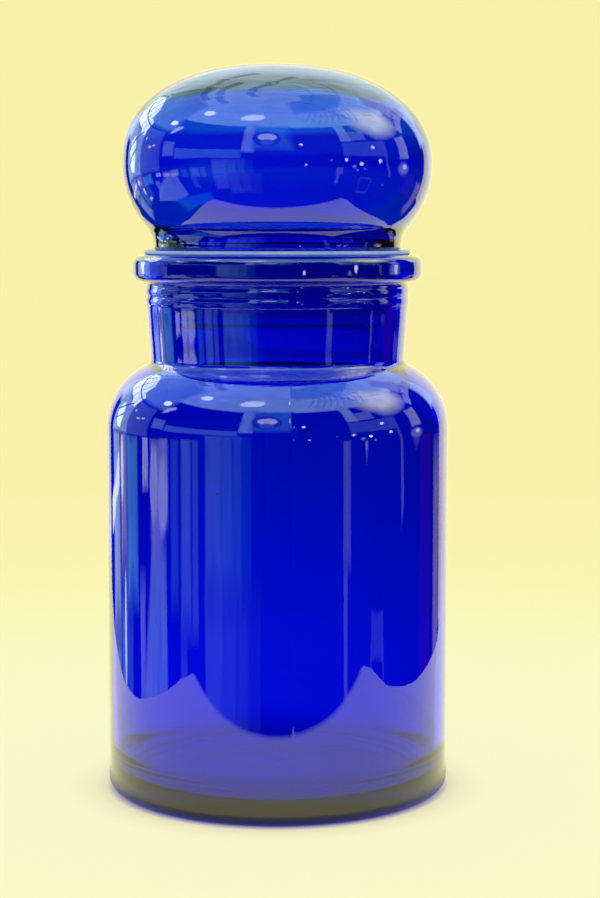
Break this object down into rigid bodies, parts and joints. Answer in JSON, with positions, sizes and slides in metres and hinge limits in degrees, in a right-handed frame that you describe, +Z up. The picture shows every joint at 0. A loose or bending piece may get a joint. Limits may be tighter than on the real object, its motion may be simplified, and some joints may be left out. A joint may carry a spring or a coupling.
{
  "type": "apothecary bottle",
  "caption": "Round wide-mouth glass bottle with a rounded shoulder, a banded neck and a heavy rim, closed by a hollow bubble stopper in a soft finned seal.",
  "frame": {"origin": "centre of the ring that the bottle stands on, in the plane of the table", "axes": "+Z up along the bottle's axis; +X to the right and +Y away from the viewer in the picture, though every piece is round"},
  "size_m": [0.1, 0.1, 0.2112],
  "materials": {
    "cobalt_glass": "clear deep blue glass, fire-polished, with a faint mould seam and slight waves",
    "soft_plastic": "milky translucent soft plastic, satin"
  },
  "bodies": {
    "jar": {"jar_glass": "cobalt_glass"},
    "seal": {"seal_sleeve": "soft_plastic"},
    "stopper": {"stopper_glass": "cobalt_glass"}
  },
  "joints": [
    {"name": "stopper_lift", "type": "slide", "parent": "jar", "child": "seal", "axis": [0, 0, 1], "range_m": [0, 0.1]},
    {"name": "stopper_twist", "type": "hinge", "parent": "seal", "child": "stopper", "pos_m": [0, 0, 0.1578], "axis": [0, 0, 1], "continuous": true}
  ]
}
